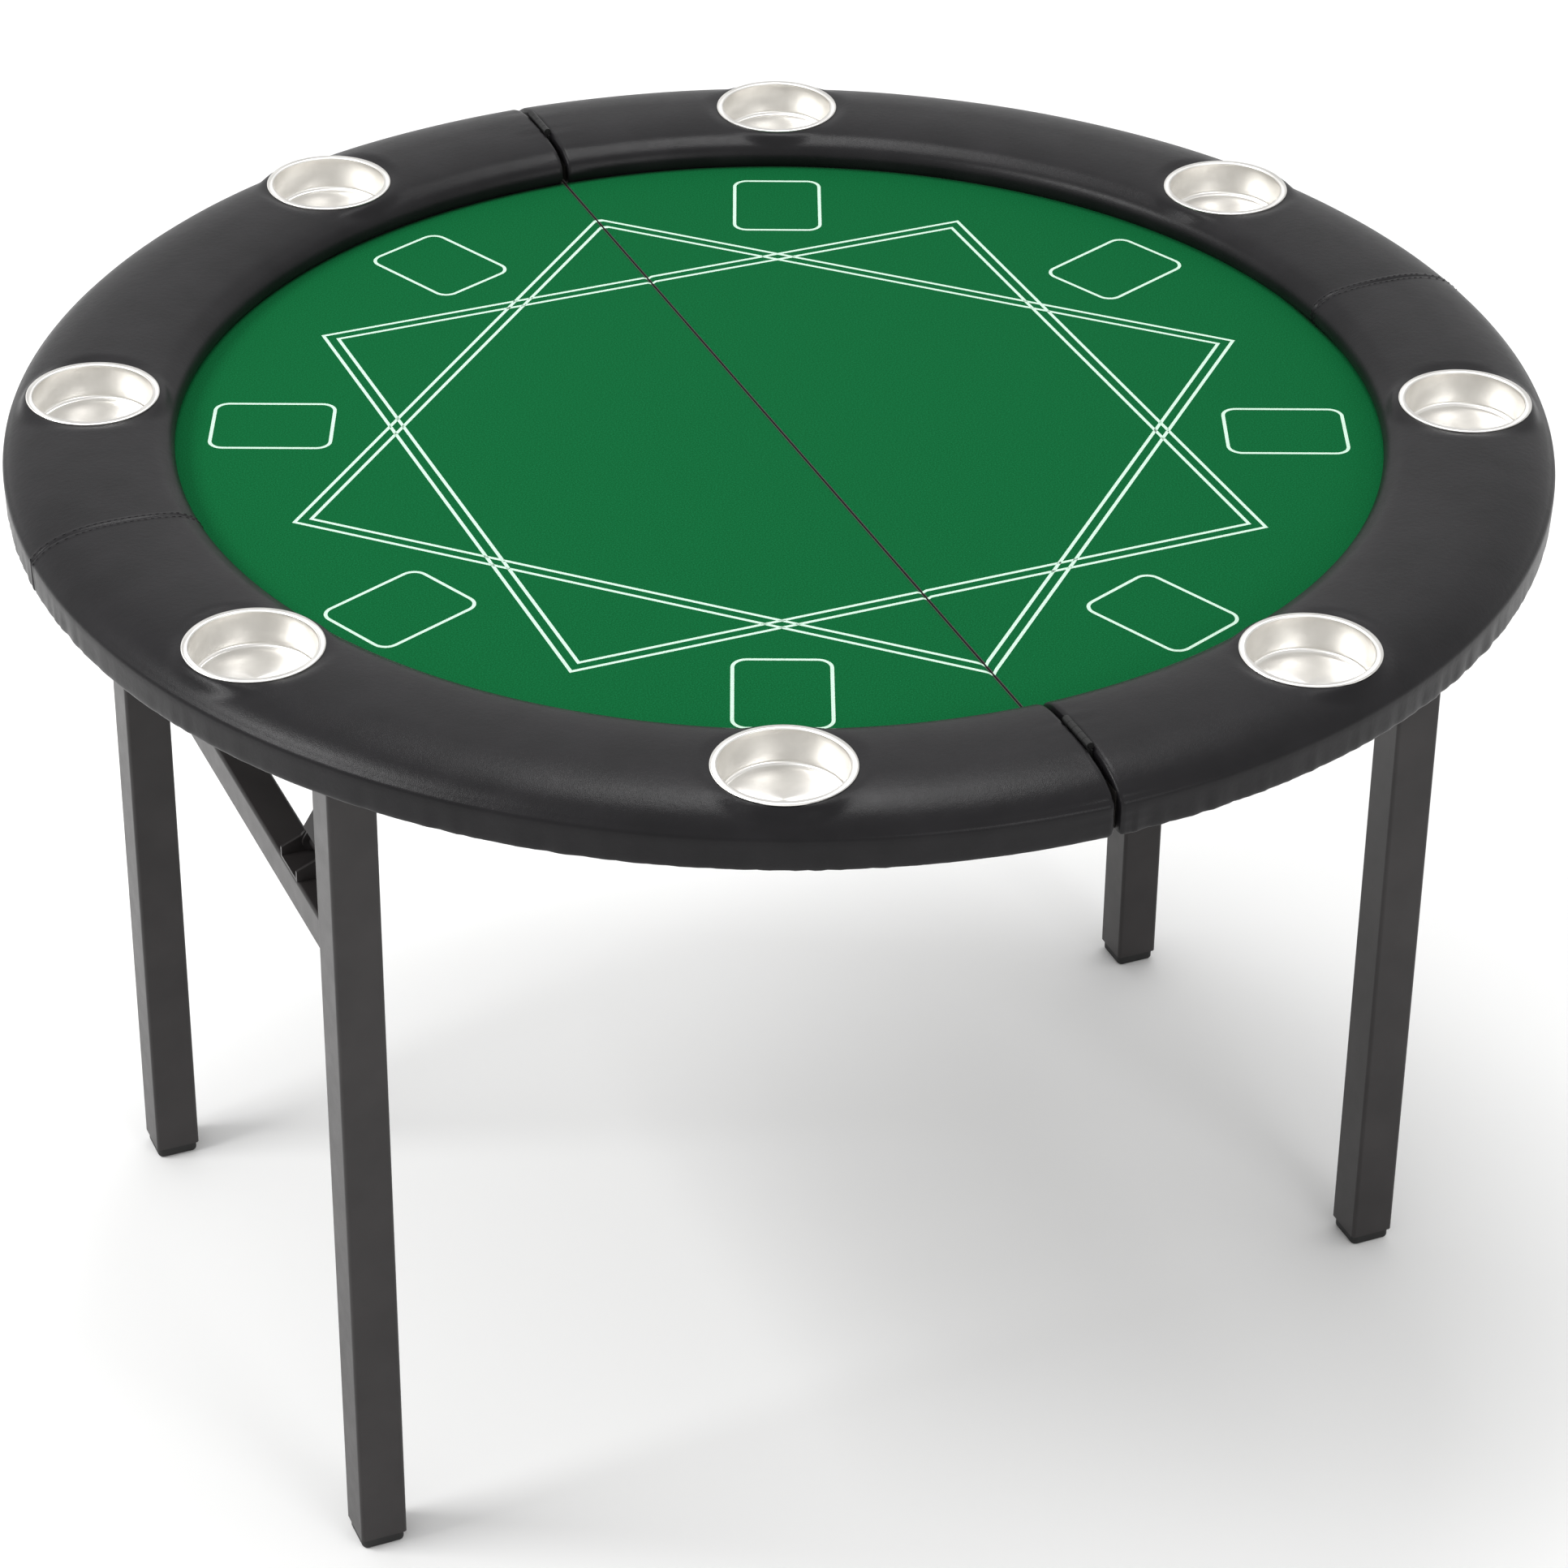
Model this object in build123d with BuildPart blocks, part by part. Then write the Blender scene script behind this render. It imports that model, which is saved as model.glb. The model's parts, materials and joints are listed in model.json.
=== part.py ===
"""Round folding poker table: two half tops hinged at the fold line, each on its own folding leg frame.

Units are millimetres. The origin is on the floor under the middle of the table, +Z is up,
+Y runs along the fold line and +X points from the fold line into the right half.
In names, side is +1 for the right half (+X) and -1 for the left half (-X).
"""
from build123d import *
from math import atan2, cos, degrees, hypot, radians, sin
import os

# Driving dimensions of the top
TABLE_R = 610.0          # outside of the padded rail
FELT_Z = 770.0           # playing surface above the floor
FELT_R = 481.0           # the cloth runs a little way under the rail
RAIL_INNER_R = 472.0
CUP_CIRCLE_R = 542.0
CUPS_PER_HALF = 4
FELT_T = 1.0
BOARD_R = 600.0
BOARD_T = 15.0
CORE_INNER_R = 482.0
CORE_T = 15.0
BOARD_GAP = 0.75         # from the fold line to each board's straight edge
RAIL_GAP = 2.25          # from the fold line to each rail's end
CROWN = 29.5             # top of the pad above the felt
PAD_BOTTOM_Z = 752.5

# Drop-in cup holders
CUP_R = 47.0             # inside radius
CUP_WALL = 0.8
CUP_RIM_R = 52.5
CUP_RIM_T = 1.4
CUP_DEPTH = 30.0
CUP_RIM_TOP = 29.0       # above the felt
CUP_HOLE_R = 48.6
CUP_POCKET = 1.3         # recess in the board under each cup

# Fold hinges in the rail ends
HINGE_Z = FELT_Z + 30.0
KNUCKLE_R = 3.0
KNUCKLE_L = 8.0
KNUCKLES = 5
KNUCKLE_CLEAR = 0.15
PIN_R = 1.5
RUNNING_FIT = 0.05
LEAF_T = 2.0
LEAF_IN = 0.25           # from the fold line to the leaf
LEAF_LOW_Z = 771.5
LEAF_HIGH_Z = 796.5

# Leg frames
PIVOT_X = 460.0
PIVOT_DROP = 27.0        # leg pivot below the board
LEG_Y = {-1: 280.0, 1: 230.0}
TUBE = 38.0
TUBE_WALL = 1.5
TUBE_CORNER = 3.0
TUBE_ABOVE_PIVOT = 12.0
GLIDE_H = 10.0
GLIDE_W = 35.0
BAR = 30.0               # crossbar section
BAR_DROP = 162.0         # crossbar below the leg pivot
PIVOT_BOLT_R = 4.0
EAR_T = 3.0
EAR_SIDE_GAP = 1.0

# Knee braces, in the leg frame's own fold plane: u points inward from the pivot, w points up
BRACE_Y = {-1: 180.0, 1: 130.0}
TOP_PIN = (100.0, 10.0)
LOW_PIN = (9.0, -136.0)
LINK_HALF = 8.0
LINK_T = 2.0
UPPER_HALF_W = 10.0      # half width of the upper link along Y
FLANGE_IN = 14.0         # half distance between the lower channel's flanges
FOOT_EAR_IN = 17.0
FOOT_EAR_T = 2.5
BRACE_PIN_R = 3.0
WEB_NEAR, WEB_FAR = 8.0, 66.0
WEB_LOW, WEB_HIGH = 10.5, 12.5
PLATE_T = 2.5

SCREW_R = 1.9
SCREW_HOLE_R = 2.0
SCREW_HEAD_R = 4.0
SCREW_HEAD_T = 2.0
SCREW_DEPTH = 12.0

BOARD_TOP = FELT_Z - FELT_T
BOARD_LOW = BOARD_TOP - BOARD_T
CORE_TOP = BOARD_TOP + CORE_T
PIVOT_Z = BOARD_LOW - PIVOT_DROP
SIDES = {-1: "left", 1: "right"}
ENDS = {-1: "front", 1: "back"}


def save(part, name):
    part.label = name
    export_step(part, f"parts/{name}.step")


def polar(radius, angle):
    return (radius * cos(radians(angle)), radius * sin(radians(angle)))


def cup_centres(side):
    """Cup centres of one half, spread evenly round the whole rail and clear of the fold line."""
    step = 180.0 / CUPS_PER_HALF
    middle = 0.0 if side > 0 else 180.0
    return [polar(CUP_CIRCLE_R, middle + step * (i - (CUPS_PER_HALF - 1) / 2)) for i in range(CUPS_PER_HALF)]


def fold_plane(side, y):
    """Sketch plane at one Y: origin on the leg pivot line, first axis inward, second axis up."""
    return Plane(origin=(side * PIVOT_X, y, PIVOT_Z), x_dir=(-side, 0, 0), z_dir=(0, side, 0))


def both_ends(value):
    return [-value, value]


def half_space(side, gap):
    """Corner and size of the sketch rectangle that keeps one half of a round outline."""
    size = 2 * TABLE_R + 10
    return (side * (gap + size / 2), 0), size


def keep_half(side, gap):
    centre, size = half_space(side, gap)
    with Locations(centre):
        Rectangle(size, size, mode=Mode.INTERSECT)


# ---------------------------------------------------------------- the links' geometry
PIN_SPAN = hypot(TOP_PIN[0] - LOW_PIN[0], TOP_PIN[1] - LOW_PIN[1])
FOLDED_PIN = (-LOW_PIN[1], LOW_PIN[0])
FOLDED_SPAN = hypot(TOP_PIN[0] - FOLDED_PIN[0], TOP_PIN[1] - FOLDED_PIN[1])
LOWER_L = (PIN_SPAN + FOLDED_SPAN) / 2
BRACE_ANGLE = degrees(atan2(TOP_PIN[1] - LOW_PIN[1], TOP_PIN[0] - LOW_PIN[0]))


def along_brace(distance, aside=0.0):
    """Point on the open brace, measured from its low pin towards the top pin and square to it."""
    direction = radians(BRACE_ANGLE)
    return (LOW_PIN[0] + distance * cos(direction) - aside * sin(direction),
            LOW_PIN[1] + distance * sin(direction) + aside * cos(direction))


KNEE = along_brace(LOWER_L)


# ---------------------------------------------------------------- screw positions
def rail_screw_points(side):
    """Screws that hold the rail core to the board, one each side of every cup."""
    middle = 0.0 if side > 0 else 180.0
    return [polar(CUP_CIRCLE_R, middle + turn) for turn in (-81, -45, 0, 45, 81)]


def leg_bracket_screws(side):
    reach = TUBE / 2 + EAR_SIDE_GAP + EAR_T + 9
    return [(side * PIVOT_X + dx, y + dy) for y in both_ends(LEG_Y[side]) for dx in (-20, 20) for dy in (-reach, reach)]


def brace_bracket_screws(side):
    x = side * (PIVOT_X - TOP_PIN[0])
    return [(x + dx, y) for y in both_ends(BRACE_Y[side]) for dx in (-20, 20)]


def leaf_screw_y():
    return (-12.0, 0.0, 12.0)


# ---------------------------------------------------------------- half top
def make_board(side):
    with BuildPart() as board:
        with BuildSketch(Plane.XY.offset(BOARD_LOW)):
            Circle(BOARD_R)
            keep_half(side, BOARD_GAP)
            with Locations(*rail_screw_points(side)):
                Circle(SCREW_HOLE_R, mode=Mode.SUBTRACT)
        extrude(amount=BOARD_T)
        with BuildSketch(Plane.XY.offset(BOARD_TOP)):
            with Locations(*cup_centres(side)):
                Circle(CUP_HOLE_R)
        extrude(amount=-CUP_POCKET, mode=Mode.SUBTRACT)
        with BuildSketch(Plane.XY.offset(BOARD_LOW)):
            with Locations(*leg_bracket_screws(side), *brace_bracket_screws(side)):
                Circle(SCREW_HOLE_R)
        extrude(amount=SCREW_DEPTH, mode=Mode.SUBTRACT)
    save(board.part, f"playing_board_{SIDES[side]}")


def make_felt(side):
    with BuildPart() as felt:
        with BuildSketch(Plane.XY.offset(BOARD_TOP)):
            Circle(FELT_R)
            keep_half(side, BOARD_GAP)
        extrude(amount=FELT_T)
    save(felt.part, f"felt_cloth_{SIDES[side]}")


def make_rail_core(side):
    with BuildPart() as core:
        with BuildSketch(Plane.XY.offset(BOARD_TOP)):
            Circle(BOARD_R)
            Circle(CORE_INNER_R, mode=Mode.SUBTRACT)
            keep_half(side, RAIL_GAP)
            with Locations(*cup_centres(side)):
                Circle(CUP_HOLE_R, mode=Mode.SUBTRACT)
        extrude(amount=CORE_T)
        with BuildSketch(Plane.XY.offset(BOARD_TOP)):
            with Locations(*rail_screw_points(side)):
                Circle(SCREW_HOLE_R)
        extrude(amount=SCREW_DEPTH, mode=Mode.SUBTRACT)
        for end in ENDS:
            for dy in leaf_screw_y():
                face = Plane(origin=(side * RAIL_GAP, end * CUP_CIRCLE_R + dy, CORE_TOP - CORE_T / 2),
                             x_dir=(0, 1, 0), z_dir=(side, 0, 0))
                with BuildSketch(face):
                    Circle(SCREW_HOLE_R)
                extrude(amount=SCREW_DEPTH, mode=Mode.SUBTRACT)
    save(core.part, f"rail_core_{SIDES[side]}")


def make_rail_pad(side):
    """Foam and leather cover as one closed solid: crowned top, straight outer side, open below."""
    crown_z = FELT_Z + CROWN
    inner_edge = (RAIL_INNER_R, FELT_Z + 14)
    shoulder = (TABLE_R - 6, FELT_Z + 17)
    with BuildPart() as pad:
        with BuildSketch(Plane.XZ):
            with BuildLine():
                outer = Polyline(inner_edge, (RAIL_INNER_R + 5, FELT_Z + 0.3), (CORE_INNER_R - 0.5, FELT_Z + 0.3),
                                 (CORE_INNER_R - 0.5, CORE_TOP + 0.3), (BOARD_R + 0.5, CORE_TOP + 0.3),
                                 (BOARD_R + 0.5, PAD_BOTTOM_Z), (TABLE_R, PAD_BOTTOM_Z), (TABLE_R, FELT_Z + 9),
                                 shoulder)
                ThreePointArc(outer @ 1, (CUP_CIRCLE_R, crown_z), outer @ 0)
            make_face()
        revolve(axis=Axis.Z)
        half, size = half_space(side, RAIL_GAP)
        with Locations((half[0], 0, FELT_Z)):
            Box(size, size, size, mode=Mode.INTERSECT)
        with BuildSketch(Plane.XY.offset(CORE_TOP)):
            with Locations(*cup_centres(side)):
                Circle(CUP_HOLE_R)
        extrude(amount=CROWN, mode=Mode.SUBTRACT)
        with BuildSketch(Plane.XY.offset(FELT_Z + CUP_RIM_TOP - CUP_RIM_T)):
            with Locations(*cup_centres(side)):
                Circle(CUP_RIM_R + 0.5)
        extrude(amount=CROWN, mode=Mode.SUBTRACT)
        for end in ENDS:
            with Locations((side * RAIL_GAP, end * CUP_CIRCLE_R, HINGE_Z)):
                Box(10, KNUCKLES * KNUCKLE_L + 4, 12, mode=Mode.SUBTRACT)
    save(pad.part, f"rail_pad_{SIDES[side]}")


def make_cup(centre, name):
    floor_z = FELT_Z + CUP_RIM_TOP - CUP_DEPTH
    rim_low = FELT_Z + CUP_RIM_TOP - CUP_RIM_T
    with BuildPart() as cup:
        with BuildSketch(Plane.XY.offset(floor_z - CUP_WALL)):
            with Locations(centre):
                Circle(CUP_R + CUP_WALL)
        extrude(amount=CUP_DEPTH + CUP_WALL)
        fillet(cup.edges().sort_by(Axis.Z)[:1], radius=3.5)
        with BuildSketch(Plane.XY.offset(rim_low)):
            with Locations(centre):
                Circle(CUP_RIM_R)
        extrude(amount=CUP_RIM_T)
        fillet(cup.faces().sort_by(Axis.Z)[-1].edges(), radius=CUP_RIM_T * 0.6)
        with BuildSketch(Plane.XY.offset(floor_z)):
            with Locations(centre):
                Circle(CUP_R)
        extrude(amount=CUP_DEPTH, mode=Mode.SUBTRACT)
    save(cup.part, name)


def make_hinge_leaves(side):
    """Flat leaf on the rail's end with its own share of the knuckles, one at each end of the fold."""
    own = range(0, KNUCKLES, 2) if side < 0 else range(1, KNUCKLES, 2)
    length = KNUCKLES * KNUCKLE_L
    middle_x = side * (LEAF_IN + LEAF_T / 2)
    screw_z = CORE_TOP - CORE_T / 2
    with BuildPart() as leaves:
        for end in ENDS:
            centre_y = end * CUP_CIRCLE_R
            with Locations((middle_x, centre_y, (LEAF_LOW_Z + LEAF_HIGH_Z) / 2)):
                Box(LEAF_T, length, LEAF_HIGH_Z - LEAF_LOW_Z)
            for index in own:
                y = centre_y - length / 2 + KNUCKLE_L * (index + 0.5)
                width = KNUCKLE_L - 2 * KNUCKLE_CLEAR
                with Locations((middle_x, y, (LEAF_HIGH_Z + HINGE_Z) / 2)):
                    Box(LEAF_T, width, HINGE_Z - LEAF_HIGH_Z + 0.1)
                with Locations((0, y, HINGE_Z)):
                    Cylinder(KNUCKLE_R, width, rotation=(90, 0, 0))
            with Locations((0, centre_y, HINGE_Z)):
                Cylinder(PIN_R + RUNNING_FIT, length + 2, rotation=(90, 0, 0), mode=Mode.SUBTRACT)
            for dy in leaf_screw_y():
                with Locations((middle_x, centre_y + dy, screw_z)):
                    Cylinder(SCREW_HOLE_R, LEAF_T + 1, rotation=(0, 90, 0), mode=Mode.SUBTRACT)
                with Locations((side * LEAF_IN, centre_y + dy, screw_z)):
                    Cylinder(SCREW_HEAD_R - 0.5, 2.4, rotation=(0, 90, 0), mode=Mode.SUBTRACT)
    save(leaves.part, f"hinge_leaves_{SIDES[side]}")


def make_hinge_screws(side):
    head_x = side * (LEAF_IN + 0.2 + 0.5)
    shank_l = SCREW_DEPTH - 1
    with BuildPart() as screws:
        for end in ENDS:
            for dy in leaf_screw_y():
                y = end * CUP_CIRCLE_R + dy
                with Locations((head_x, y, CORE_TOP - CORE_T / 2)):
                    Cylinder(SCREW_HEAD_R - 0.7, 1.0, rotation=(0, 90, 0))
                with Locations((head_x + side * shank_l / 2, y, CORE_TOP - CORE_T / 2)):
                    Cylinder(SCREW_R, shank_l, rotation=(0, 90, 0))
    save(screws.part, f"hinge_screws_{SIDES[side]}")


def make_hinge_pins():
    length = KNUCKLES * KNUCKLE_L + 1
    with BuildPart() as pins:
        with Locations((0, -CUP_CIRCLE_R, HINGE_Z), (0, CUP_CIRCLE_R, HINGE_Z)):
            Cylinder(PIN_R, length, rotation=(90, 0, 0))
    save(pins.part, "hinge_pins")


# ---------------------------------------------------------------- brackets under the board
def make_leg_brackets(side):
    """Pressed U-brackets that hold the leg tubes: a base plate and an ear each side of the tube."""
    ear_in = TUBE / 2 + EAR_SIDE_GAP
    with BuildPart() as brackets:
        for y in both_ends(LEG_Y[side]):
            with BuildSketch(Plane.XY.offset(BOARD_LOW)):
                with Locations((side * PIVOT_X, y)):
                    RectangleRounded(56, 2 * (ear_in + EAR_T + 16), 5)
                with Locations(*[p for p in leg_bracket_screws(side) if p[1] * y > 0]):
                    Circle(SCREW_HOLE_R, mode=Mode.SUBTRACT)
            extrude(amount=-PLATE_T)
            for ear_y in (y - ear_in - EAR_T / 2, y + ear_in + EAR_T / 2):
                with BuildSketch(fold_plane(side, ear_y)):
                    Circle(13)
                    with Locations((0, (PIVOT_DROP - 1) / 2)):
                        Rectangle(26, PIVOT_DROP - 1)
                    Circle(PIVOT_BOLT_R + RUNNING_FIT, mode=Mode.SUBTRACT)
                extrude(amount=EAR_T / 2, both=True)
    save(brackets.part, f"leg_brackets_{SIDES[side]}")


def make_leg_bolts(side):
    """Pivot bolts: a shank through both ears and the tube, a round head and a domed nut."""
    ear_out = TUBE / 2 + EAR_SIDE_GAP + EAR_T
    with BuildPart() as bolts:
        for y in both_ends(LEG_Y[side]):
            with BuildSketch(fold_plane(side, y)):
                Circle(PIVOT_BOLT_R)
            extrude(amount=ear_out + 3, both=True)
            for cap_y in (y - ear_out - 2, y + ear_out + 2):
                with BuildSketch(fold_plane(side, cap_y)):
                    RegularPolygon(7, 6)
                extrude(amount=2, both=True)
    save(bolts.part, f"leg_pivot_bolts_{SIDES[side]}")


def make_brace_brackets(side):
    """Small U-brackets on the board that hold the top pins of the knee braces."""
    ear_in = UPPER_HALF_W + 0.5
    x = side * (PIVOT_X - TOP_PIN[0])
    with BuildPart() as brackets:
        for y in both_ends(BRACE_Y[side]):
            with BuildSketch(Plane.XY.offset(BOARD_LOW)):
                with Locations((x, y)):
                    RectangleRounded(54, 30, 4)
                with Locations((x - 20, y), (x + 20, y)):
                    Circle(SCREW_HOLE_R, mode=Mode.SUBTRACT)
            extrude(amount=-PLATE_T)
            for ear_y in (y - ear_in - LINK_T / 2, y + ear_in + LINK_T / 2):
                with BuildSketch(fold_plane(side, ear_y)):
                    with Locations(TOP_PIN):
                        Circle(LINK_HALF)
                    with Locations((TOP_PIN[0], (TOP_PIN[1] + PIVOT_DROP - 1) / 2)):
                        Rectangle(2 * LINK_HALF, PIVOT_DROP - 1 - TOP_PIN[1])
                    with Locations(TOP_PIN):
                        Circle(BRACE_PIN_R + RUNNING_FIT, mode=Mode.SUBTRACT)
                extrude(amount=LINK_T / 2, both=True)
    save(brackets.part, f"brace_brackets_{SIDES[side]}")


def make_brace_top_pins(side):
    reach = UPPER_HALF_W + 0.5 + LINK_T
    with BuildPart() as pins:
        for y in both_ends(BRACE_Y[side]):
            with BuildSketch(fold_plane(side, y)):
                with Locations(TOP_PIN):
                    Circle(BRACE_PIN_R)
            extrude(amount=reach + 0.8, both=True)
            for cap_y in (y - reach - 0.5, y + reach + 0.5):
                with BuildSketch(fold_plane(side, cap_y)):
                    with Locations(TOP_PIN):
                        Circle(5)
                extrude(amount=0.4, both=True)
    save(pins.part, f"brace_top_pins_{SIDES[side]}")


def make_bracket_screws(side):
    with BuildPart() as screws:
        points = leg_bracket_screws(side) + brace_bracket_screws(side)
        with BuildSketch(Plane.XY.offset(BOARD_LOW - PLATE_T)):
            with Locations(*points):
                Circle(SCREW_HEAD_R)
        extrude(amount=-SCREW_HEAD_T, taper=25)
        with BuildSketch(Plane.XY.offset(BOARD_LOW - PLATE_T)):
            with Locations(*points):
                Circle(SCREW_R)
        extrude(amount=SCREW_DEPTH + PLATE_T - 1)
    save(screws.part, f"bracket_screws_{SIDES[side]}")


def make_rail_screws(side):
    with BuildPart() as screws:
        with BuildSketch(Plane.XY.offset(BOARD_LOW)):
            with Locations(*rail_screw_points(side)):
                Circle(SCREW_HEAD_R)
        extrude(amount=-SCREW_HEAD_T, taper=25)
        with BuildSketch(Plane.XY.offset(BOARD_LOW)):
            with Locations(*rail_screw_points(side)):
                Circle(SCREW_R)
        extrude(amount=BOARD_T + SCREW_DEPTH - 1)
    save(screws.part, f"rail_screws_{SIDES[side]}")


# ---------------------------------------------------------------- leg frame
def make_leg_tube(side, end):
    """Square leg tube, open at both ends, with the pivot bolt's holes near its top."""
    height = PIVOT_Z + TUBE_ABOVE_PIVOT - GLIDE_H
    with BuildPart() as tube:
        with BuildSketch(Plane.XY.offset(GLIDE_H)):
            with Locations((side * PIVOT_X, end * LEG_Y[side])):
                RectangleRounded(TUBE, TUBE, TUBE_CORNER)
                RectangleRounded(TUBE - 2 * TUBE_WALL, TUBE - 2 * TUBE_WALL, TUBE_CORNER - TUBE_WALL,
                                 mode=Mode.SUBTRACT)
        extrude(amount=height)
        with BuildSketch(fold_plane(side, end * LEG_Y[side])):
            Circle(PIVOT_BOLT_R + RUNNING_FIT)
        extrude(amount=TUBE, both=True, mode=Mode.SUBTRACT)
    save(tube.part, f"leg_tube_{SIDES[side]}_{ENDS[end]}")


def make_crossbar(side):
    length = 2 * LEG_Y[side] - TUBE
    with BuildPart() as bar:
        with BuildSketch(fold_plane(side, 0)):
            with Locations((0, -BAR_DROP)):
                RectangleRounded(BAR, BAR, TUBE_CORNER)
                RectangleRounded(BAR - 2 * TUBE_WALL, BAR - 2 * TUBE_WALL, TUBE_CORNER - TUBE_WALL,
                                 mode=Mode.SUBTRACT)
        extrude(amount=length / 2, both=True)
    save(bar.part, f"leg_crossbar_{SIDES[side]}")


def make_foot_glides(side):
    """Moulded foot glides: a plug inside each tube and a rounded foot below it."""
    plug = TUBE - 2 * TUBE_WALL - 0.4
    with BuildPart() as glides:
        points = [(side * PIVOT_X, y) for y in both_ends(LEG_Y[side])]
        with BuildSketch(Plane.XY):
            with Locations(*points):
                RectangleRounded(GLIDE_W, GLIDE_W, 5)
        extrude(amount=GLIDE_H)
        fillet(glides.faces().filter_by(Plane.XY).group_by(Axis.Z)[0].edges(), radius=3)
        with BuildSketch(Plane.XY.offset(GLIDE_H)):
            with Locations(*points):
                RectangleRounded(plug, plug, 1.2)
        extrude(amount=14)
    save(glides.part, f"foot_glides_{SIDES[side]}")


def make_crossbar_brackets(side):
    """U-brackets welded on top of the crossbar, with a round ear each side of the brace."""
    base_w = 2 * (FOOT_EAR_IN + FOOT_EAR_T)
    bar_top = -BAR_DROP + BAR / 2
    with BuildPart() as brackets:
        for y in both_ends(BRACE_Y[side]):
            with BuildSketch(fold_plane(side, y)):
                with Locations((0, bar_top + LINK_T / 2)):
                    Rectangle(BAR, LINK_T)
            extrude(amount=base_w / 2, both=True)
            for ear_y in (y - FOOT_EAR_IN - FOOT_EAR_T / 2, y + FOOT_EAR_IN + FOOT_EAR_T / 2):
                with BuildSketch(fold_plane(side, ear_y)):
                    with Locations(LOW_PIN):
                        Circle(LINK_HALF + 1)
                    Polygon((-BAR / 2, bar_top), (BAR / 2, bar_top), (BAR / 2 + 3, LOW_PIN[1] - 1),
                            (LOW_PIN[0], LOW_PIN[1] + LINK_HALF), (-BAR / 2, LOW_PIN[1] - 2), align=None)
                    with Locations(LOW_PIN):
                        Circle(BRACE_PIN_R + RUNNING_FIT, mode=Mode.SUBTRACT)
                extrude(amount=FOOT_EAR_T / 2, both=True)
    save(brackets.part, f"crossbar_brackets_{SIDES[side]}")


def make_brace_foot_pins(side):
    reach = FOOT_EAR_IN + FOOT_EAR_T
    with BuildPart() as pins:
        for y in both_ends(BRACE_Y[side]):
            with BuildSketch(fold_plane(side, y)):
                with Locations(LOW_PIN):
                    Circle(BRACE_PIN_R)
            extrude(amount=reach + 1, both=True)
            for cap_y in (y - reach - 1, y + reach + 1):
                with BuildSketch(fold_plane(side, cap_y)):
                    with Locations(LOW_PIN):
                        Circle(5.5)
                extrude(amount=1, both=True)
    save(pins.part, f"brace_foot_pins_{SIDES[side]}")


# ---------------------------------------------------------------- knee braces
def make_upper_links(side):
    """Short upper links, from the board brackets to the knee."""
    middle = ((TOP_PIN[0] + KNEE[0]) / 2, (TOP_PIN[1] + KNEE[1]) / 2)
    with BuildPart() as links:
        for y in both_ends(BRACE_Y[side]):
            with BuildSketch(fold_plane(side, y)):
                SlotCenterPoint(middle, KNEE, 2 * (LINK_HALF - 1))
                with Locations(TOP_PIN, KNEE):
                    Circle(BRACE_PIN_R + RUNNING_FIT, mode=Mode.SUBTRACT)
            extrude(amount=UPPER_HALF_W, both=True)
    save(links.part, f"brace_upper_links_{SIDES[side]}")


def make_lower_channels(side):
    """Long lower channels: two flanges round the folded upper link and a web on the outer side."""
    middle = along_brace(LOWER_L / 2)
    web = [along_brace(WEB_NEAR, WEB_LOW), along_brace(WEB_FAR, WEB_LOW),
           along_brace(WEB_FAR, WEB_HIGH), along_brace(WEB_NEAR, WEB_HIGH)]
    cheek = [along_brace(WEB_NEAR - 6, 0), along_brace(WEB_FAR + 14, 0),
             along_brace(WEB_FAR, WEB_HIGH), along_brace(WEB_NEAR, WEB_HIGH)]
    with BuildPart() as channels:
        for y in both_ends(BRACE_Y[side]):
            with BuildSketch(fold_plane(side, y)):
                Polygon(*web, align=None)
            extrude(amount=FLANGE_IN + LINK_T, both=True)
            for flange_y in (y - FLANGE_IN - LINK_T / 2, y + FLANGE_IN + LINK_T / 2):
                with BuildSketch(fold_plane(side, flange_y)):
                    SlotCenterPoint(middle, KNEE, 2 * LINK_HALF)
                    Polygon(*cheek, align=None)
                    with Locations(LOW_PIN, KNEE):
                        Circle(BRACE_PIN_R + RUNNING_FIT, mode=Mode.SUBTRACT)
                extrude(amount=LINK_T / 2, both=True)
    save(channels.part, f"brace_lower_channels_{SIDES[side]}")


def make_knee_rivets(side):
    """Shouldered knee rivets, one in each flange, that stop short of the upper link."""
    with BuildPart() as rivets:
        for y in both_ends(BRACE_Y[side]):
            for turn in (-1, 1):
                with BuildSketch(fold_plane(side, y + turn * (FLANGE_IN + LINK_T / 2))):
                    with Locations(KNEE):
                        Circle(BRACE_PIN_R)
                extrude(amount=LINK_T / 2 + 0.1, both=True)
                with BuildSketch(fold_plane(side, y + turn * (FLANGE_IN + LINK_T + 0.9))):
                    with Locations(KNEE):
                        Circle(5.5)
                extrude(amount=0.9, both=True)
    save(rivets.part, f"knee_rivets_{SIDES[side]}")


def main():
    os.makedirs("parts", exist_ok=True)
    make_hinge_pins()
    for side in SIDES:
        make_board(side)
        make_felt(side)
        make_rail_core(side)
        make_rail_pad(side)
        for number, centre in enumerate(cup_centres(side), 1):
            make_cup(centre, f"cup_holder_{SIDES[side]}_{number}")
        make_hinge_leaves(side)
        make_hinge_screws(side)
        make_leg_brackets(side)
        make_leg_bolts(side)
        make_brace_brackets(side)
        make_brace_top_pins(side)
        make_bracket_screws(side)
        make_rail_screws(side)
        for end in ENDS:
            make_leg_tube(side, end)
        make_crossbar(side)
        make_foot_glides(side)
        make_crossbar_brackets(side)
        make_brace_foot_pins(side)
        make_upper_links(side)
        make_lower_channels(side)
        make_knee_rivets(side)


main()
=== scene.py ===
"""Looks of the round folding poker table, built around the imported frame. Metres, +Z up."""
import json
from math import asin, atan2, cos, hypot, pi, radians, sin, sqrt

import bmesh
import bpy
from mathutils import Matrix, Vector, noise


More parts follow.
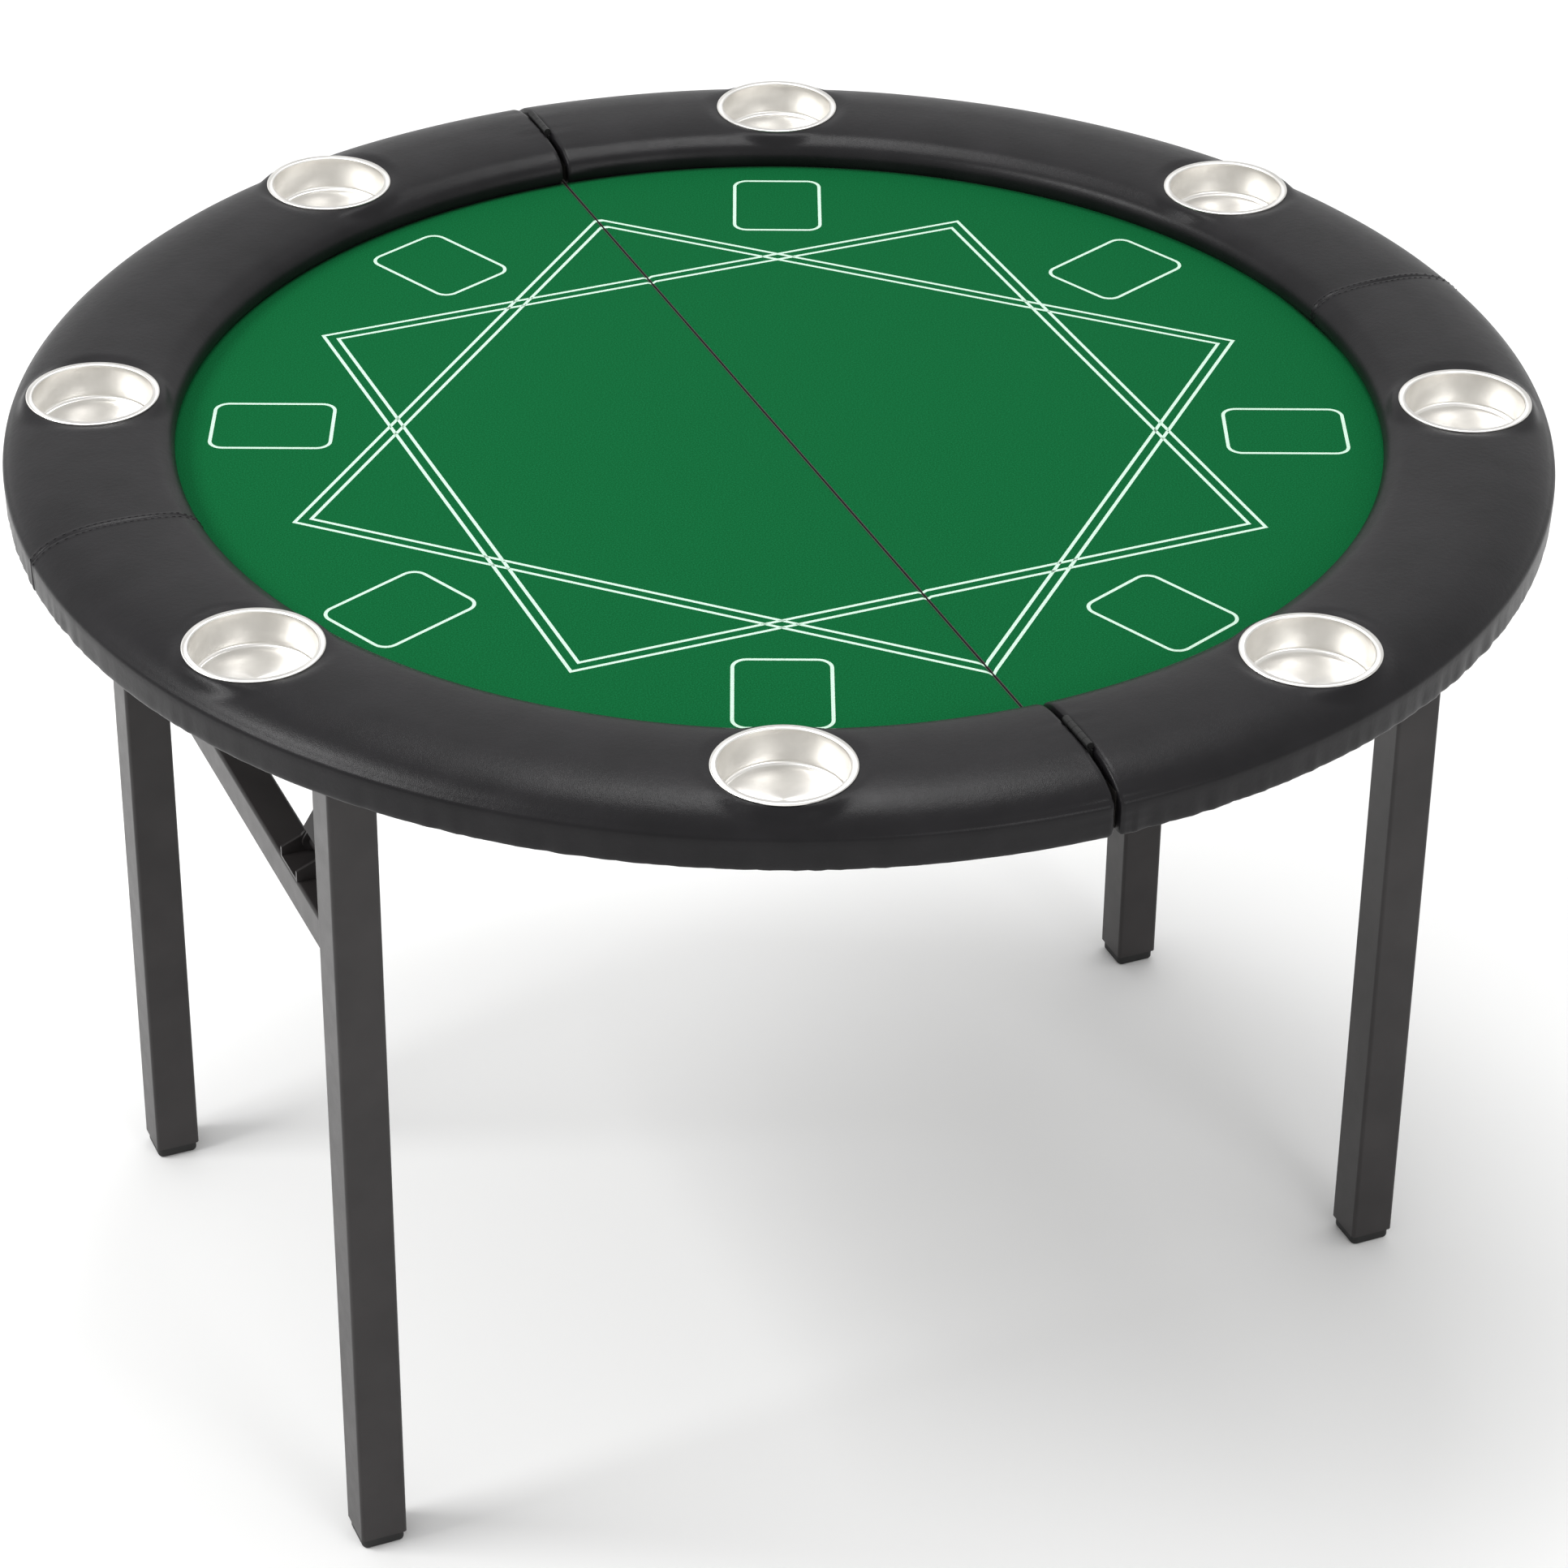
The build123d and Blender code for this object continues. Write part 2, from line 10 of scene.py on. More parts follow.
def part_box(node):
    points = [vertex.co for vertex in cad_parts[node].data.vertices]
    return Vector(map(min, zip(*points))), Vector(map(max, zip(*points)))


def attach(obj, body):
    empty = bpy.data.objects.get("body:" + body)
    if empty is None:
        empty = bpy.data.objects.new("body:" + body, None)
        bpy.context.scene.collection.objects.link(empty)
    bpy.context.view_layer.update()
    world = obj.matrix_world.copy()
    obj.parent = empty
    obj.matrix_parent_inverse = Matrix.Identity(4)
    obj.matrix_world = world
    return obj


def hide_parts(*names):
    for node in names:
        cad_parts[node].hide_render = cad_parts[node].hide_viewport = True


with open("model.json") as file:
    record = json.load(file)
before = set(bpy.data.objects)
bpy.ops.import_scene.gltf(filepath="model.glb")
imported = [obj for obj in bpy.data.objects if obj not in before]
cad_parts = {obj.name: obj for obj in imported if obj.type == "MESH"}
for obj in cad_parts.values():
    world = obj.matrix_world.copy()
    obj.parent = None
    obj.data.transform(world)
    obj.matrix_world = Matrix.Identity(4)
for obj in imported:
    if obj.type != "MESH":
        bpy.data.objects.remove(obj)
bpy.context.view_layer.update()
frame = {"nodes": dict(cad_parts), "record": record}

MM = 0.001
SIDES = {-1: "left", 1: "right"}

# Driving sizes, read from the frame
FELT_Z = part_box("felt_cloth_right")[1].z
FELT_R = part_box("felt_cloth_right")[1].x
BOARD_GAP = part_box("felt_cloth_right")[0].x
TABLE_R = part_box("rail_pad_right")[1].x
RAIL_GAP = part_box("rail_pad_right")[0].x
RIM_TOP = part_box("cup_holder_right_1")[1].z
CUP_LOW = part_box("cup_holder_right_1")[0].z
RIM_R = (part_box("cup_holder_right_1")[1].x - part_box("cup_holder_right_1")[0].x) / 2
CUPS = {f"{name}_{n}": sum(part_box(f"cup_holder_{name}_{n}"), Vector()) / 2
        for name in SIDES.values() for n in (1, 2, 3, 4)}
CUP_CIRCLE = hypot(CUPS["right_1"].x, CUPS["right_1"].y)

# Printed marks on the felt
STAR_R = 405 * MM
STAR_PITCH = 9.6 * MM
LINE_W = 2.8 * MM
CARD_L, CARD_W, CARD_CORNER = 95 * MM, 73 * MM, 11 * MM
CARD_R = 401.5 * MM
PRINT_LIFT = 0.12 * MM

# Felt cloth: its roll over the board's edge at the fold, and its mesh
ROLL_DROP, ROLL_W = 1.1 * MM, 3.2 * MM
ROLL_CUTS = (0.5 * MM, 1.0 * MM, 1.6 * MM, 2.3 * MM, 3.2 * MM)
ROLL_COLUMNS, ROLL_PITCH = 9, 0.45 * MM
FELT_COLUMNS, FELT_ROWS = 90, 150
FELT_T = 0.8 * MM

# How the pad's cover lies
RAIL_LENGTH = pi * TABLE_R
PAD_MIDDLE_Z = FELT_Z + 8 * MM
TUCK_R = 4.5 * MM
PUCKER_REACH, PUCKER_DEPTH = 40 * MM, 0.9 * MM
SEAM_HALF_W, SEAM_DEPTH = 1.6 * MM, 0.7 * MM
STITCH_FROM_SEAM, STITCH_PITCH = 3.6 * MM, 4.2 * MM
STITCH_SIZE = (1.5 * MM, 0.42 * MM, 0.42 * MM, 1)
WELT_HALF_W, WELT_RISE = 2.4 * MM, 0.25 * MM
SOFTNESS = 0.35 * MM
GATHER_DEPTH, GATHER_INSET, GATHER_DROP = 1.5 * MM, 0.5 * MM, 22 * MM
GATHERS_ROUND, FINE_GATHERS_ROUND = 62, 130

# Mesh of the pad round the rail: fine near its ends and near the seam
END_ZONE, END_PITCH = 14 * MM, 1.0 * MM
SEAM_ZONE, SEAM_PITCH = 9 * MM, 0.75 * MM
PLAIN_PITCH = 4.5 * MM

# How the pad is pressed flat under each cup's rim
SEAT_Z = RIM_TOP - 1.55 * MM
SEAT_R, SEAT_FADE = 52 * MM, 11 * MM
SEAT_INNER_R, SEAT_OUTER_R = 474 * MM, TABLE_R - 5 * MM
EDGE_FADE = 12 * MM
CUP_HOLE_R = 49.4 * MM

# Cup holder
CUP_INNER_R, CUP_WALL = 47.0 * MM, 0.8 * MM
CUP_FLOOR_BEND, CUP_RIM_BEND = 4 * MM, 1.6 * MM
CUP_FLOOR_RINGS = (0.6, 8, 16, 24, 32, 39, 43)
CUP_TURNS = 96


# ---------------------------------------------------------------- small helpers
def smooth(value):
    value = min(max(value, 0.0), 1.0)
    return value * value * (3 - 2 * value)


def link_object(name, data):
    """New object with that data, in the scene."""
    piece = bpy.data.objects.new(name, data)
    bpy.context.scene.collection.objects.link(piece)
    return piece


def from_faces(name, verts, faces):
    data = bpy.data.meshes.new(name)
    data.from_pydata([tuple(v) for v in verts], [], faces)
    data.update()
    return link_object(name, data)


def from_bmesh(name, mesh):
    """New object from a bmesh, which is freed."""
    data = bpy.data.meshes.new(name)
    mesh.to_mesh(data)
    mesh.free()
    return link_object(name, data)


def finish_piece(piece, material, body):
    """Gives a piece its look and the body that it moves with."""
    piece.data.materials.clear()
    piece.data.materials.append(material)
    for polygon in piece.data.polygons:
        polygon.use_smooth = True
    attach(piece, body)


def apply_modifiers(piece):
    depsgraph = bpy.context.evaluated_depsgraph_get()
    mesh = bpy.data.meshes.new_from_object(piece.evaluated_get(depsgraph))
    piece.modifiers.clear()
    piece.data = mesh


def recalc_normals(piece):
    mesh = bmesh.new()
    mesh.from_mesh(piece.data)
    bmesh.ops.recalc_face_normals(mesh, faces=mesh.faces)
    mesh.to_mesh(piece.data)
    mesh.free()


# ---------------------------------------------------------------- materials
class Nodes:
    """Short way to write a material's node tree."""

    def __init__(self, name):
        self.material = bpy.data.materials.new(name)
        self.material.use_nodes = True
        self.tree = self.material.node_tree
        self.shader = self.tree.nodes["Principled BSDF"]
        self.coords = self.add("ShaderNodeTexCoord").outputs["Object"]

    def add(self, kind, **inputs):
        node = self.tree.nodes.new(kind)
        for key, value in inputs.items():
            self.set(node.inputs[key.replace("_", " ")], value)
        return node

    def set(self, socket, value):
        if isinstance(value, bpy.types.NodeSocket):
            self.tree.links.new(value, socket)
        else:
            socket.default_value = value

    def shade(self, **inputs):
        for key, value in inputs.items():
            self.set(self.shader.inputs[key.replace("_", " ")], value)

    def noise(self, scale, detail=3.0, roughness=0.5, vector=None):
        node = self.add("ShaderNodeTexNoise", Scale=scale, Detail=detail, Roughness=roughness,
                        Vector=vector or self.coords)
        return node.outputs["Fac"]

    def cell_edges(self, scale):
        node = self.add("ShaderNodeTexVoronoi", Scale=scale, Vector=self.coords)
        node.feature = "DISTANCE_TO_EDGE"
        return node.outputs["Distance"]

    def stretched(self, scale):
        return self.add("ShaderNodeMapping", Vector=self.coords, Scale=scale).outputs["Vector"]

    def ramp(self, value, stops):
        node = self.add("ShaderNodeValToRGB", Fac=value)
        elements = node.color_ramp.elements
        while len(elements) < len(stops):
            elements.new(0.5)
        for element, (place, colour) in zip(elements, stops):
            element.position = place
            element.color = (*colour, 1)
        return node.outputs["Color"]

    def spread(self, value, low, high):
        node = self.add("ShaderNodeMapRange", Value=value, To_Min=low, To_Max=high)
        return node.outputs["Result"]

    def bump(self, height, strength, distance, below=None):
        node = self.add("ShaderNodeBump", Height=height, Strength=strength, Distance=distance)
        if below is not None:
            self.tree.links.new(below, node.inputs["Normal"])
        return node.outputs["Normal"]


def leather_material():
    m = Nodes("rail_leather")
    cells = m.cell_edges(900)
    creases = m.noise(240, 4)
    colour = m.ramp(m.noise(26, 4), [(0.3, (0.0068, 0.0064, 0.0072)), (0.7, (0.0105, 0.0098, 0.011))])
    normal = m.bump(m.noise(1500, 2), 0.12, 0.0002)
    normal = m.bump(cells, 0.22, 0.0005, normal)
    normal = m.bump(creases, 0.10, 0.0012, normal)
    m.shade(Base_Color=colour, Roughness=m.spread(m.noise(90, 4), 0.29, 0.38), Normal=normal)
    m.shade(Specular_IOR_Level=0.17)
    return m.material


def felt_material():
    m = Nodes("felt")
    speckle = m.noise(900, 2, 0.7)
    colour = m.ramp(speckle, [(0.30, (0.001, 0.062, 0.015)), (0.52, (0.002, 0.090, 0.025)),
                              (0.74, (0.006, 0.128, 0.043))])
    normal = m.bump(m.noise(1400, 3), 0.35, 0.0003)
    normal = m.bump(m.noise(180, 3), 0.08, 0.0008, normal)
    m.shade(Base_Color=colour, Roughness=m.spread(m.noise(300), 0.86, 0.97), Normal=normal)
    m.shade(Sheen_Weight=0.01, Sheen_Roughness=0.5, Specular_IOR_Level=0.03)
    return m.material


def print_material():
    m = Nodes("felt_print")
    wear = m.noise(1100, 3, 0.7)
    colour = m.ramp(wear, [(0.30, (0.30, 0.48, 0.36)), (0.55, (0.52, 0.70, 0.58)), (0.8, (0.66, 0.80, 0.71))])
    m.shade(Base_Color=colour, Roughness=m.spread(m.noise(500), 0.75, 0.9), Normal=m.bump(wear, 0.3, 0.0003))
    m.shade(Specular_IOR_Level=0.2)
    return m.material


def steel_material():
    m = Nodes("cup_steel")
    around = m.add("ShaderNodeUVMap")
    around.uv_map = "around"
    turned = m.add("ShaderNodeMapping", Vector=around.outputs["UV"], Scale=(4, 900, 1)).outputs["Vector"]
    streaks = m.noise(1.0, 3, vector=turned)
    colour = m.ramp(m.noise(40), [(0.3, (0.76, 0.745, 0.715)), (0.7, (0.88, 0.865, 0.835))])
    m.shade(Base_Color=colour, Roughness=m.spread(streaks, 0.27, 0.36), Normal=m.bump(streaks, 0.03, 0.0001))
    m.shade(Metallic=1.0, Anisotropic=0.9)
    tangent = m.add("ShaderNodeTangent")
    tangent.direction_type = "UV_MAP"
    tangent.uv_map = "around"
    m.tree.links.new(tangent.outputs["Tangent"], m.shader.inputs["Tangent"])
    return m.material


def paint_material(name, low, high, roughness, fine):
    """Powder coat: fine orange peel, faint tone changes and slightly polished spots."""
    m = Nodes(name)
    colour = m.ramp(m.noise(18, 4), [(0.3, low), (0.7, high)])
    normal = m.bump(m.noise(fine, 2), 0.12, 0.0004)
    worn = m.spread(m.noise(70, 4), roughness - 0.06, roughness + 0.06)
    m.shade(Base_Color=colour, Roughness=worn, Normal=normal)
    m.shade(Specular_IOR_Level=0.3)
    return m.material


def zinc_material():
    m = Nodes("zinc")
    colour = m.ramp(m.noise(120, 4), [(0.3, (0.33, 0.33, 0.34)), (0.7, (0.48, 0.48, 0.47))])
    rough = m.spread(m.noise(200), 0.28, 0.42)
    m.shade(Base_Color=colour, Roughness=rough, Normal=m.bump(m.noise(700), 0.05, 0.0003))
    m.shade(Metallic=1.0)
    return m.material


def board_material():
    """Black-faced fibreboard with a faint fibre grain."""
    m = Nodes("board")
    fibre = m.noise(260, 5, 0.65, vector=m.stretched((1, 4, 1)))
    colour = m.ramp(fibre, [(0.3, (0.020, 0.018, 0.016)), (0.7, (0.040, 0.035, 0.031))])
    m.shade(Base_Color=colour, Roughness=m.spread(fibre, 0.6, 0.8), Normal=m.bump(fibre, 0.2, 0.0004))
    return m.material


MATERIALS = {
    "rail_leather": leather_material(),
    "felt": felt_material(),
    "cup_steel": steel_material(),
    "zinc": zinc_material(),
    "board": board_material(),
    "frame_paint": paint_material("frame_paint", (0.020, 0.018, 0.018), (0.030, 0.027, 0.027),
                                    0.36, 900),
    # Hinge parts near-black: painted shade, so that they read as the dark seam gap between the halves.
    "hinge_black": paint_material("hinge_black", (0.006, 0.006, 0.006), (0.012, 0.012, 0.012),
                                    0.45, 1200),
    "glide_plastic": paint_material("glide_plastic", (0.010, 0.010, 0.010), (0.018, 0.018, 0.018),
                                    0.55, 1600),
}
PRINT = print_material()


def dress_cad_nodes():
    slots = {row["node"]: row["material_slot"] for row in frame["record"]["subparts"]}
    for name, node in frame["nodes"].items():
        node.data.materials.clear()
        node.data.materials.append(MATERIALS[slots[name]])


# ---------------------------------------------------------------- felt cloth and print
def felt_height(x, y):
    """The stretched cloth is nearly flat, and rolls over the board's edge at the fold."""
    edge = abs(x) - BOARD_GAP
    roll = ROLL_DROP * (1 - smooth(edge / ROLL_W))
    return FELT_Z - roll + 0.03 * MM * noise.noise(Vector((x * 14, y * 14, 0)))


def column_places():
    """Distances from the fold line to the cloth's columns, close together at the rolled edge."""
    near = [BOARD_GAP + ROLL_PITCH * i for i in range(ROLL_COLUMNS)]
    span = FELT_R * 0.9995 - near[-1]
    return near + [near[-1] + span * i / FELT_COLUMNS for i in range(1, FELT_COLUMNS + 1)]


def make_felt(side):
    """Half the cloth as one thin sheet, stretched over the playing board."""
    name = SIDES[side]
    columns, rows = column_places(), FELT_ROWS
    verts, faces = [], []
    for x in columns:
        reach = sqrt(FELT_R ** 2 - x ** 2)
        for j in range(rows + 1):
            y = reach * (2 * j / rows - 1)
            verts.append((side * x, y, felt_height(side * x, y)))
    for i in range(len(columns) - 1):
        for j in range(rows):
            a = i * (rows + 1) + j
            quad = (a, a + rows + 1, a + rows + 2, a + 1)
            faces.append(quad if side > 0 else quad[::-1])
    cloth = from_faces(f"felt_{name}", verts, faces)
    solid = cloth.modifiers.new("thick", "SOLIDIFY")
    solid.thickness = FELT_T
    solid.offset = -1
    apply_modifiers(cloth)
    finish_piece(cloth, MATERIALS["felt"], f"half_{name}")
    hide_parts(f"felt_cloth_{name}")


def everything(mesh):
    return mesh.verts[:] + mesh.edges[:] + mesh.faces[:]


def ring(mesh, outer, inner):
    """Flat band between two closed outlines with the same number of points."""
    top = [mesh.verts.new((x, y, 0)) for x, y in outer]
    low = [mesh.verts.new((x, y, 0)) for x, y in inner]
    count = len(top)
    for i in range(count):
        k = (i + 1) % count
        mesh.faces.new((top[i], top[k], low[k], low[i]))


def square_outline(radius, turn, steps=60):
    """Square with its corners at that radius, each side cut into short runs."""
    angles = [radians(turn + 90 * i) for i in range(4)]
    corners = [(radius * cos(angle), radius * sin(angle)) for angle in angles]
    points = []
    for i in range(4):
        (ax, ay), (bx, by) = corners[i], corners[(i + 1) % 4]
        points += [(ax + (bx - ax) * k / steps, ay + (by - ay) * k / steps) for k in range(steps)]
    return points


def card_outline(centre_angle, grow):
    """Rounded rectangle with its long side along the radius, grown by that much on each side."""
    half_l, half_w, corner = CARD_L / 2 + grow, CARD_W / 2 + grow, CARD_CORNER + grow
    points = []
    for i, (sx, sy) in enumerate(((1, 1), (-1, 1), (-1, -1), (1, -1))):
        for k in range(9):
            a = radians(90 * i + 90 * k / 8)
            u = sx * (half_l - corner) + corner * cos(a)
            v = sy * (half_w - corner) + corner * sin(a)
            c, s = cos(centre_angle), sin(centre_angle)
            points.append(((CARD_R + u) * c - v * s, (CARD_R + u) * s + v * c))
    return points


def make_print(side):
    """Two double-lined squares turned into a star, and a card place in front of each cup."""
    name = SIDES[side]
    mesh = bmesh.new()
    width = LINE_W * sqrt(2)
    for turn in (0, 45):
        for start in (STAR_R, STAR_R - STAR_PITCH * sqrt(2)):
            ring(mesh, square_outline(start, turn), square_outline(start - width, turn))
    for centre in CUPS.values():
        angle = atan2(centre.y, centre.x)
        ring(mesh, card_outline(angle, LINE_W / 2), card_outline(angle, -LINE_W / 2))
    edge = BOARD_GAP + 0.1 * MM
    bmesh.ops.bisect_plane(mesh, geom=everything(mesh), plane_co=(side * edge, 0, 0),
                           plane_no=(side, 0, 0), clear_inner=True)
    for cut in ROLL_CUTS:
        bmesh.ops.bisect_plane(mesh, geom=everything(mesh), plane_co=(side * (BOARD_GAP + cut), 0, 0),
                               plane_no=(1, 0, 0))
    for vert in mesh.verts:
        vert.co.z = felt_height(vert.co.x, vert.co.y) + PRINT_LIFT
    bmesh.ops.recalc_face_normals(mesh, faces=mesh.faces)
    for face in mesh.faces:
        if face.normal.z < 0:
            face.normal_flip()
    piece = from_bmesh(f"felt_print_{name}", mesh)
    finish_piece(piece, PRINT, f"half_{name}")


# ---------------------------------------------------------------- padded rail
# Section of the pad: distance inside the rail's outer radius and height above the felt, in millimetres.
CROWN_POINTS = [(131.0, 0.4), (133.0, 4.0), (133.7, 8.5), (133.0, 13.0), (130.0, 18.0), (124.0, 22.2),
                (116.0, 25.8), (100.0, 28.3), (84.0, 29.5), (68.0, 29.8), (52.0, 29.4), (36.0, 27.4),
                (24.0, 24.4), (14.0, 20.4), (7.0, 15.8), (3.2, 12.0)]
CREASE_POINTS = [(1.6, 10.6), (0.5, 9.2), (0.1, 7.0)]
SIDE_POINTS = [(0.0, 3.0), (0.0, -2.0), (0.0, -7.0), (0.1, -12.0), (0.6, -15.6), (2.0, -17.2), (5.0, -17.4),
               (8.5, -16.8)]
HIDDEN_POINTS = [(8.9, 0.0), (8.9, 14.6), (60.0, 14.6), (125.0, 14.6), (126.2, 6.0), (126.6, 0.5)]


def through_points(points, cuts):
    """Smooth curve through the points (Catmull-Rom), with each stretch cut into that many."""
    out = []
    for i in range(len(points) - 1):
        before, start, end, after = (Vector(points[min(max(i + k, 0), len(points) - 1)])
                                     for k in (-1, 0, 1, 2))
        for c in range(cuts):
            t = c / cuts
            square = 2 * before - 5 * start + 4 * end - after
            cube = 3 * start - before - 3 * end + after
            out.append(0.5 * (2 * start + (end - before) * t + square * t * t + cube * t ** 3))
    return out + [Vector(points[-1])]


def pad_section():
    """Points (radius, height, part of the section), with crown and side along smooth curves."""
    rows = [(p, "crown") for p in through_points(CROWN_POINTS, 3)]
    rows += [(Vector(p), "crease") for p in CREASE_POINTS]
    rows += [(p, "side") for p in through_points(SIDE_POINTS, 2)]
    rows += [(Vector(p), "hidden") for p in HIDDEN_POINTS]
    return [(TABLE_R - p.x * MM, FELT_Z + p.y * MM, part) for p, part in rows]


def ring_places():
    """Shares of the way round one half, close together at the ends and at the middle seam."""
    places, at = [], 0.0
    while at < RAIL_LENGTH / 2:
        places.append(at)
        from_seam = RAIL_LENGTH / 2 - at
        if at < END_ZONE:
            at += END_PITCH
        elif from_seam < SEAM_ZONE:
            at += SEAM_PITCH
        else:
            at += PLAIN_PITCH
    return [p / RAIL_LENGTH for p in places] + [0.5] + [1 - p / RAIL_LENGTH for p in reversed(places)]


def gathers(angle, side):
    """Vertical gathers of the cover along the outer side, uneven and strongest in places."""
    far = Vector((cos(angle) * 5, sin(angle) * 5, side))
    strength = 0.25 + 1.3 * smooth(noise.noise(far * 0.9) + 0.5)
    wave = noise.noise(Vector((cos(angle) * GATHERS_ROUND, sin(angle) * GATHERS_ROUND, 2.0)))
    fine = noise.noise(Vector((cos(angle) * FINE_GATHERS_ROUND, sin(angle) * FINE_GATHERS_ROUND, 5.0)))
    return strength * (0.75 * wave - 0.25 * abs(fine))


def cup_hold(x, y, radius):
    """How firmly a cup's rim presses the pad there, from 0 to 1."""
    near = min(hypot(x - c.x, y - c.y) for c in CUPS.values())
    hold = 1 - smooth((near - SEAT_R) / SEAT_FADE)
    return hold * smooth((SEAT_OUTER_R - radius) / EDGE_FADE) * smooth((radius - SEAT_INNER_R) / EDGE_FADE)


def pad_point(side, share, radius, height, part):
    """Place of a section point that far round the half, with the cover's tucks, seam and gathers."""
    gap = asin(RAIL_GAP / radius)
    angle = -pi / 2 + gap + (pi - 2 * gap) * share
    from_end = min(share, 1 - share) * RAIL_LENGTH
    from_seam = abs(share - 0.5) * RAIL_LENGTH
    x, y = radius * cos(angle), radius * sin(angle)
    if part != "hidden":
        # ends tucked in round a small radius, with a few puckers fanning from them
        inset = TUCK_R - sqrt(max(TUCK_R ** 2 - max(TUCK_R - from_end, 0) ** 2, 0))
        folds = noise.noise(Vector((radius * 210, height * 160, side)))
        pucker = (1 - smooth(from_end / PUCKER_REACH)) * PUCKER_DEPTH * folds
        away = Vector((radius - CUP_CIRCLE, height - PAD_MIDDLE_Z))
        away.normalize()
        radius -= away.x * (inset * 0.55) - away.x * pucker
        height -= max(away.y, -0.3) * inset - away.y * pucker
        # cover seam across the middle of the half, with a low welt under each row of stitches
        dent = SEAM_DEPTH * max(1 - (from_seam / SEAM_HALF_W) ** 2, 0)
        dent -= WELT_RISE * max(1 - ((from_seam - STITCH_FROM_SEAM) / WELT_HALF_W) ** 2, 0)
        radius -= away.x * dent
        height -= away.y * dent
        height += SOFTNESS * noise.noise(Vector((x * 9, y * 9, height * 20))) * (part == "crown")
    if part == "side":
        down = smooth((PAD_MIDDLE_Z - height) / GATHER_DROP)
        gathered = gathers(angle, side) * GATHER_DEPTH - GATHER_INSET
        radius += gathered * (0.15 + 0.85 * down) * smooth(from_end / EDGE_FADE)
    if part == "crown" and height > FELT_Z + 15 * MM:
        height += (SEAT_Z - height) * cup_hold(x, y, radius)
    x, y = radius * cos(angle), radius * sin(angle)
    if from_end < 1e-9:
        x = RAIL_GAP
    return side * x, y, height


def make_pad(side):
    """The section swept round the half, with its four cup holes cut out."""
    name = SIDES[side]
    section, places = pad_section(), ring_places()
    verts = [pad_point(side, share, *row) for share in places for row in section]
    count = len(section)
    faces = []
    for i in range(len(places) - 1):
        for j in range(count):
            k = (j + 1) % count
            faces.append((i * count + j, i * count + k, (i + 1) * count + k, (i + 1) * count + j))
    faces.append(tuple(range(count)))
    faces.append(tuple(range((len(places) - 1) * count, len(places) * count)))
    pad = from_faces(f"rail_pad_leather_{name}", verts, faces)
    recalc_normals(pad)
    cutter_mesh = bmesh.new()
    for n in (1, 2, 3, 4):
        centre = CUPS[f"{name}_{n}"]
        place = Matrix.Translation((centre.x, centre.y, FELT_Z))
        bmesh.ops.create_cone(cutter_mesh, cap_ends=True, segments=72, radius1=CUP_HOLE_R,
                              radius2=CUP_HOLE_R, depth=0.12, matrix=place)
    cutter = from_bmesh("cutter", cutter_mesh)
    cut = pad.modifiers.new("cups", "BOOLEAN")
    cut.object = cutter
    cut.solver = "EXACT"
    apply_modifiers(pad)
    bpy.data.objects.remove(cutter)
    finish_piece(pad, MATERIALS["rail_leather"], f"half_{name}")
    pad.data.set_sharp_from_angle(angle=radians(50))
    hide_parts(f"rail_pad_{name}")


def make_stitches(side):
    """Two rows of thread beside the seam across the middle of the half."""
    name = SIDES[side]
    mesh = bmesh.new()
    crown = [row for row in pad_section() if row[2] in ("crown", "crease")]
    for row_side in (-1, 1):
        share = 0.5 + row_side * STITCH_FROM_SEAM / RAIL_LENGTH
        path = [Vector(pad_point(side, share, *row)) for row in crown]
        travelled, last = 0.0, None
        for a, b in zip(path, path[1:]):
            travelled += (b - a).length
            if last is None or travelled - last > STITCH_PITCH:
                last = travelled
                direction = (b - a).normalized()
                turn = direction.to_track_quat("X", "Z").to_matrix().to_4x4()
                place = Matrix.Translation(a) @ turn @ Matrix.Diagonal(STITCH_SIZE)
                bmesh.ops.create_icosphere(mesh, subdivisions=2, radius=1, matrix=place)
    piece = from_bmesh(f"seam_thread_{name}", mesh)
    finish_piece(piece, MATERIALS["rail_leather"], f"half_{name}")


# ---------------------------------------------------------------- cup holders
def cup_profile():
    """Radius and height of the cup's section, from the middle of its floor round the rim to the underside."""
    floor, low = CUP_LOW + CUP_WALL, RIM_TOP - 1.4 * MM
    outer = CUP_INNER_R + CUP_WALL
    points = [(r * MM, floor + 0.5 * MM * (1 - r / CUP_FLOOR_RINGS[-1])) for r in CUP_FLOOR_RINGS]
    for a in [pi / 2 * k / 6 for k in range(1, 7)]:
        points.append((CUP_INNER_R - CUP_FLOOR_BEND * (1 - sin(a)), floor + CUP_FLOOR_BEND * (1 - cos(a))))
    points += [(CUP_INNER_R, floor + (RIM_TOP - floor) * k / 6) for k in (2, 3, 4, 5)]
    for a in [pi / 2 * k / 6 for k in range(7)]:
        points.append((CUP_INNER_R + CUP_RIM_BEND * (1 - cos(a)), RIM_TOP - CUP_RIM_BEND * (1 - sin(a))))
    points += [(RIM_R - 1.2 * MM, RIM_TOP), (RIM_R - 0.4 * MM, RIM_TOP - 0.25 * MM)]
    points += [(RIM_R, RIM_TOP - 0.7 * MM), (RIM_R, low), (outer, low), (outer, CUP_LOW + 3 * MM)]
    points += [(CUP_INNER_R - 2 * MM, CUP_LOW), (0.6 * MM, CUP_LOW)]
    return points


